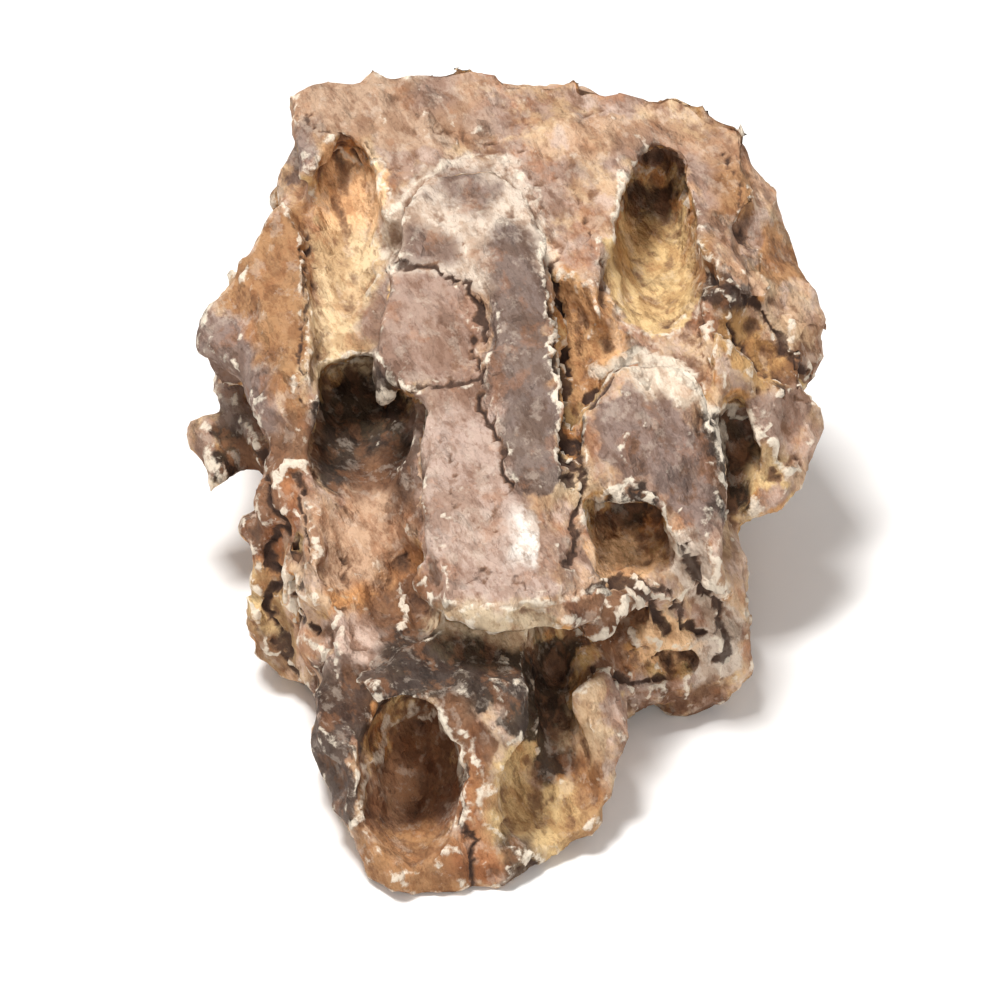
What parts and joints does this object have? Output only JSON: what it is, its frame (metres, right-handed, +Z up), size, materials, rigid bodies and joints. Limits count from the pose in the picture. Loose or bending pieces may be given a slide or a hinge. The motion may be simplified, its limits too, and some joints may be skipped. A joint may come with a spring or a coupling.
{
  "type": "aquarium dragon stone",
  "caption": "Loose weathered mudstone with a low tunnelled snout, scooped pits, a raised spine and thin rims, laid on its flat underside as aquarium hardscape.",
  "frame": {"origin": "centre of the bounding box, at the height of the flat underside", "axes": "+Y from the low snout to the high crown, the stone's length; +Z up, away from the surface it lies on; +X to the right as seen from the snout"},
  "size_m": [0.0924, 0.134, 0.0619],
  "materials": {
    "stone": "matte, dry and weathered, mauve and pinkish tan with ochre and orange hollows"
  },
  "bodies": {
    "root": {"dragon_stone": "stone"}
  },
  "joints": []
}
